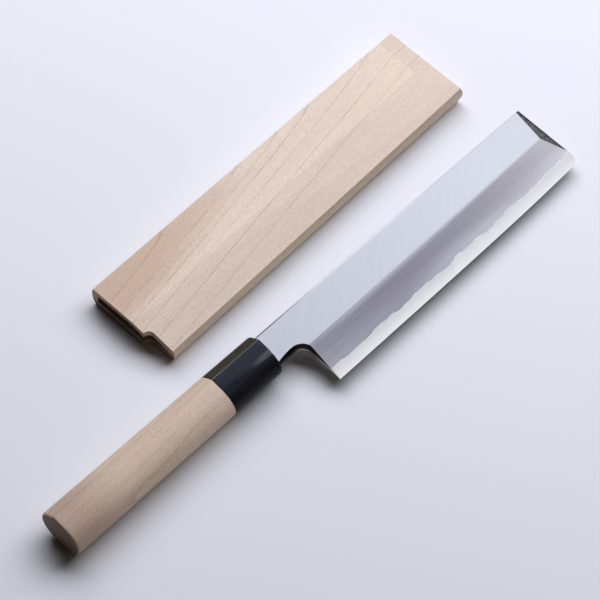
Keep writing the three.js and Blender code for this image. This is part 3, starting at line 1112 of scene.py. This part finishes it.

# %% [markdown]
# The corner between flat and spine is rubbed round for the hand. So narrow a round shows as a line: it
# mirrors the dim side of the room by the neck and the bright sheet further on, and that reflection is
# painted as a dark and then a bright line that fades out towards the tip. It is drawn some 0.6 mm wide,
# wider than it is, so that it shows.

# %% Painted reflection on the rubbed spine
def paint_spine_reflection(material):
    dim_reflection_tone = 0.12
    bright_reflection_tone = 1.5
    tree = material.node_tree
    place = place_on_knife(tree)
    coordinates = add_node(tree, "ShaderNodeTexCoord", {})
    normal = add_node(tree, "ShaderNodeSeparateXYZ", {"Vector": coordinates.outputs["Normal"]})
    wear_and_reflection = add_node(
        tree, "ShaderNodeMapRange",
        {
            "Value": place.outputs["X"], "From Min": 14.0, "From Max": 46.0,
            "To Min": dim_reflection_tone, "To Max": bright_reflection_tone,
        },
    )
    reflection_fading = add_node(
        tree, "ShaderNodeMapRange",
        {"Value": place.outputs["X"], "From Min": 100.0, "From Max": 130.0, "To Min": 1.0, "To Max": 0.0},
    )
    reflection_strip = add_node(
        tree, "ShaderNodeMapRange",
        {
            "Value": place.outputs["Y"], "From Min": 0.65, "From Max": 0.45,
            "To Max": reflection_fading.outputs["Result"],
        },
    )
    upwards = add_node(
        tree, "ShaderNodeMapRange", {"Value": normal.outputs["Z"], "From Min": 0.2, "From Max": 0.4},
    )
    strength = add_node(
        tree, "ShaderNodeMath",
        {0: reflection_strip.outputs["Result"], 1: upwards.outputs["Result"]},
        operation="MULTIPLY",
    )
    tone = add_node(
        tree, "ShaderNodeMix", {0: strength.outputs["Value"], 2: 1.0, 3: wear_and_reflection.outputs["Result"]},
    )
    lay_over(tree, 1.0, tone.outputs[0], "MULTIPLY")
    print(material.name, "has the line of the spine")


paint_spine_reflection(iron)
paint_spine_reflection(polished_iron)

# %% [markdown]
# The facet over the tip ends in a sharp corner, which is broken too. That narrow strip turns away from
# the light, and its shade is painted as a near-black tone.

# %% Paint shade on the corner of the tip
tip_shade_tone = 0.2
tree = tip_iron.node_tree
tip_corner_shade = add_node(
    tree, "ShaderNodeMapRange",
    {
        "Value": place_on_knife(tree).outputs["X"], "From Min": 192.4, "From Max": 193.0,
        "To Min": 1.0, "To Max": tip_shade_tone,
    },
)
lay_over(tree, 1.0, tip_corner_shade.outputs["Result"], "MULTIPLY")
print("corner of the tip darkened to", tip_shade_tone)

# %% [markdown]
# The last millimetres before the edge get the finest stone, so the steel whitens towards it. The
# heel is honed most, because it does the chopping, so the steel also whitens a little towards it.

# %% Whiten the steel towards the edge
tree = edge_steel.node_tree
steel_place = place_on_knife(tree)
edge_white = add_node(
    tree, "ShaderNodeMapRange",
    {
        "Value": steel_place.outputs["Y"], "From Min": 38.0, "From Max": 44.0,
        "To Min": 0.9, "To Max": 1.15,
    },
)
heel_white = add_node(
    tree, "ShaderNodeMapRange",
    {
        "Value": steel_place.outputs["X"], "From Min": 20.0, "From Max": 130.0,
        "To Min": 1.11, "To Max": 0.94,
    },
)
for white in (edge_white, heel_white):
    lay_over(tree, 1.0, white.outputs["Result"], "MULTIPLY")
print("steel whitened towards the edge and the heel")

# %% [markdown]
# ## Pieces
#
# Every piece keeps the shape of its solid and gets what a solid of few faces lacks: edges with
# the small rounds that a hand leaves, and smooth shading between them. A copy of a solid's mesh
# is merged first, because its triangles come in loose, and faces that lie in one plane are
# dissolved into one, so that only true edges are left to round.

# %% Copy a solid
def copy_solid(node_name, piece_name, materials):
    bpy.ops.object.select_all(action="DESELECT")
    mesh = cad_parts[node_name].data.copy()
    piece = bpy.data.objects.new(piece_name, mesh)
    bpy.context.scene.collection.objects.link(piece)
    piece.select_set(True)
    bpy.context.view_layer.objects.active = piece
    mesh.materials.clear()
    for material in materials:
        mesh.materials.append(material)
    bpy.ops.object.mode_set(mode="EDIT")
    bpy.ops.mesh.select_all(action="SELECT")
    bpy.ops.mesh.customdata_custom_splitnormals_clear()
    bpy.ops.mesh.remove_doubles(threshold=0.000001)
    bpy.ops.mesh.dissolve_limited(angle_limit=math.radians(0.05))
    bpy.ops.object.mode_set(mode="OBJECT")
    print(piece_name, len(mesh.vertices), "points", len(mesh.polygons), "faces")
    return piece


print("solids can be copied")

# %% [markdown]
# Edges are chosen in code, by how far the faces turn at them and by where they lie. A rule for
# each piece says which. Chosen edges are beveled round, or marked sharp where they stay crisp.

# %% Round edges
def choose_edges(piece, wanted):
    bpy.ops.object.mode_set(mode="EDIT")
    bpy.ops.mesh.select_mode(type="EDGE")
    bpy.ops.mesh.select_all(action="DESELECT")
    shape = bmesh.from_edit_mesh(piece.data)
    chosen = 0
    for edge in shape.edges:
        turn = math.degrees(edge.calc_face_angle(0.0))
        start, end = (vertex.co for vertex in edge.verts)
        if wanted(turn, start, end):
            edge.select_set(True)
            chosen += 1
    bmesh.update_edit_mesh(piece.data)
    return chosen


def round_edges(piece, width, segments, wanted):
    chosen = choose_edges(piece, wanted)
    bpy.ops.mesh.bevel(
        offset=width * mm, segments=segments, profile=0.5, affect="EDGES", clamp_overlap=True,
    )
    bpy.ops.object.mode_set(mode="OBJECT")
    print(piece.name, "rounded", chosen, "edges by", width, "mm")


def keep_crisp(piece, wanted):
    chosen = choose_edges(piece, wanted)
    bpy.ops.mesh.mark_sharp()
    bpy.ops.object.mode_set(mode="OBJECT")
    print(piece.name, "kept", chosen, "edges crisp")


print("edges can be rounded")

# %% [markdown]
# The rounded mesh is shaded smooth up to an angle, and the Weighted Normal modifier keeps the
# broad faces flat, so that only the rounds catch the light. The rules ask for places on the knife
# in millimetres, so a last helper reads the knife's ruler for a point of a mesh.

# %% Smooth a piece and read the ruler
def smooth(piece, angle):
    bpy.ops.object.shade_smooth_by_angle(angle=math.radians(angle))
    bpy.ops.object.modifier_add(type="WEIGHTED_NORMAL")
    piece.modifiers[-1].keep_sharp = True
    bpy.ops.object.modifier_apply(modifier=piece.modifiers[-1].name)


def on_knife(point):
    local = Matrix.Rotation(-knife_turn, 3, "Z") @ (point - knife_corner) / mm
    return Vector((local.x, -local.y, local.z))


print("the ruler of the knife starts at", on_knife(knife_corner))

# %% [markdown]
# ### Iron body of the blade
#
# The spine is rounded for the hand, most on the heel half, where the finger rests. The other edges
# are only broken, so 0.12 mm is enough for them, and the corners of the tip are left as they are.

# %% Edges of the iron
spine_height = 10.5
spine_fall = 0.0131
finger_reach = 115
tip_start = 180


def on_spine(turn, start, end):
    ends = [on_knife(point) for point in (start, end)]
    on_top = min(point.z + spine_fall * point.x for point in ends) > spine_height
    in_line = max(abs(point.y) for point in ends) < 0.2
    return turn > 60 and on_top and in_line


def on_heel_spine(turn, start, end):
    return on_spine(turn, start, end) and max(on_knife(start).x, on_knife(end).x) < finger_reach


def on_broken_edge(turn, start, end):
    ends = [on_knife(point) for point in (start, end)]
    before_tip = max(point.x for point in ends) < tip_start
    below_spine = min(point.y for point in ends) > 1.0
    return 15 < turn < 120 and before_tip and below_spine


blade_finishes = (iron, polished_iron, tip_iron, choil_dark_reflection_iron)
blade_iron = copy_solid("iron_blade_body", "blade_iron", blade_finishes)
round_edges(blade_iron, 0.8, 4, on_heel_spine)
round_edges(blade_iron, 0.3, 3, on_spine)
round_edges(blade_iron, 0.12, 2, on_broken_edge)
smooth(blade_iron, 10)

# %% [markdown]
# The points along the weld get the mark that the margin reads. All points more than 30 mm below
# the spine lie there. The faces get their finish by the way they face and by where they are: only
# those that face nearly straight up are ground and stoned.

# %% Finishes of the iron
weld_depth = 30.0


def in_choil(middle):
    return middle.x < 19.5 and middle.y > 15


weld_marks = blade_iron.data.attributes.new("near_weld", "FLOAT", "POINT")
for vertex, mark in zip(blade_iron.data.vertices, weld_marks.data):
    if on_knife(vertex.co).y > weld_depth:
        mark.value = 1.0
for face in blade_iron.data.polygons:
    middle = on_knife(face.center)
    if middle.x > tip_start and face.normal.x > 0.2:
        face.material_index = blade_finishes.index(tip_iron)
    # Faces in the choil get the painted dark reflection
    elif in_choil(middle) and face.normal.z < 0.9:
        face.material_index = blade_finishes.index(choil_dark_reflection_iron)
    elif face.normal.z < 0.97:
        face.material_index = blade_finishes.index(polished_iron)
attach(blade_iron, "knife")
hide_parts("iron_blade_body")
print("points on the weld:", sum(mark.value == 1.0 for mark in weld_marks.data))

# %% [markdown]
# ### Edge steel
#
# The steel is a thin layer under the iron, and its bevel is the white band along the edge. It has to stay
# sharp, so its corners get a round of only 0.02 mm. In the choil it gets the same painted dark reflection
# as the iron.

# %% Edge steel
edge_finishes = (edge_steel, choil_dark_reflection_iron)
blade_edge_steel = copy_solid("steel_edge_layer", "blade_edge_steel", edge_finishes)
round_edges(blade_edge_steel, 0.02, 2, lambda turn, start, end: 60 < turn < 100)
smooth(blade_edge_steel, 10)
for face in blade_edge_steel.data.polygons:
    if in_choil(on_knife(face.center)) and abs(face.normal.z) < 0.9:
        face.material_index = edge_finishes.index(choil_dark_reflection_iron)
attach(blade_edge_steel, "knife")
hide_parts("steel_edge_layer")

# %% [markdown]
# ### Ferrule and handle
#
# Both are shaped together when the knife is made, so their rounds run through and are of one
# width. Only edges that turn by more than 25 degrees are rounded, because the shallow ones belong
# to the D of the section and the smooth shading takes care of them.

# %% Ferrule
def on_shaped_edge(turn, start, end):
    return 25 < turn < 120


ferrule = copy_solid("horn_ferrule", "ferrule", (horn,))
round_edges(ferrule, 0.3, 2, on_shaped_edge)
smooth(ferrule, 30)
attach(ferrule, "knife")
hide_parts("horn_ferrule")

# %% [markdown]
# The handle sits tight on the ferrule and is worked in the same way.

# %% Handle
handle = copy_solid("wooden_handle", "handle", (handle_wood,))
round_edges(handle, 0.3, 2, on_shaped_edge)
smooth(handle, 30)
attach(handle, "knife")
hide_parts("wooden_handle")

# %% [markdown]
# ### Sheath
#
# The two boards are glued and then planed as one, so their sides run through. The shallow edges between
# the planed facets stay crisp. The slot, between the boards, lies in shade and gets a painted dark shade,
# and so do the faces of the back board at the mouth and at the step in it, which lie in the shadow of the
# mouth.

# %% Finish of a sheath face
board_finishes = (sheath_wood, slot_shade_wood, lip_shade_wood)
mouth_depth = 16.0


def between_facets(turn, start, end):
    return 2 < turn < 20 and min(start.z, end.z) > 10.3 * mm


def choose_finish(node_name, face):
    middle = (face.center - sheath_corner) / mm
    across = -middle.y
    in_step = middle.x < mouth_depth and 30.0 < across < 45.0 and face.normal.y < -0.3
    in_mouth = middle.x < mouth_depth and face.normal.x < -0.3
    in_slot = 2.5 < across < 50.0 and 5.0 < middle.z < 11.5 and abs(face.normal.x) < 0.5
    # Mouth and step faces of the back board get the painted shade of the lip
    if node_name == "sheath_back_board" and (in_mouth or in_step):
        return lip_shade_wood
    if in_slot and not in_step:
        return slot_shade_wood
    return sheath_wood


print("sheath finishes:", [finish.name for finish in board_finishes])

# %% [markdown]
# Both boards are worked in the same way, so a loop makes them.

# %% Sheath boards
boards = (("sheath_back_board", "sheath_back"), ("sheath_front_board", "sheath_front"))
for node_name, piece_name in boards:
    board = copy_solid(node_name, piece_name, board_finishes)
    round_edges(board, 0.3, 2, lambda turn, start, end: 20 < turn < 120)
    keep_crisp(board, between_facets)
    smooth(board, 30)
    for face in board.data.polygons:
        face.material_index = board_finishes.index(choose_finish(node_name, face))
    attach(board, "sheath")
    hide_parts(node_name)
